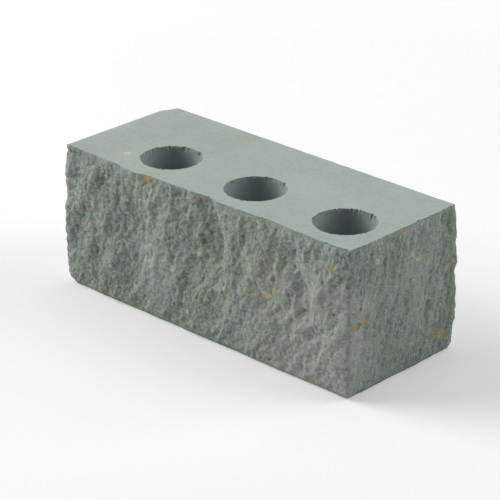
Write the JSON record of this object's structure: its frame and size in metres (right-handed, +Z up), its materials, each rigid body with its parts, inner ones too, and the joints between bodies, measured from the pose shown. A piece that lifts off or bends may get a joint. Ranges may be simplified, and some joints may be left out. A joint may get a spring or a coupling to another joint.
{
  "type": "split face hollow brick",
  "caption": "Pressed concrete corner brick lying on its bed, with a row of upright round holes, smooth back and end, and a long face and an end split to a rough stone-like surface.",
  "frame": {"origin": "middle of the lower bed, half way between the smooth faces and the knife lines of the split faces", "axes": "+X along the length towards the split end, -Y towards the long split face, +Z up along the holes"},
  "size_m": [0.2263, 0.0924, 0.088],
  "materials": {
    "concrete": "matt, smooth from the press on the beds, back and end, torn and coarse on the split faces"
  },
  "bodies": {
    "root": {"split_face_brick": "concrete"}
  },
  "joints": []
}
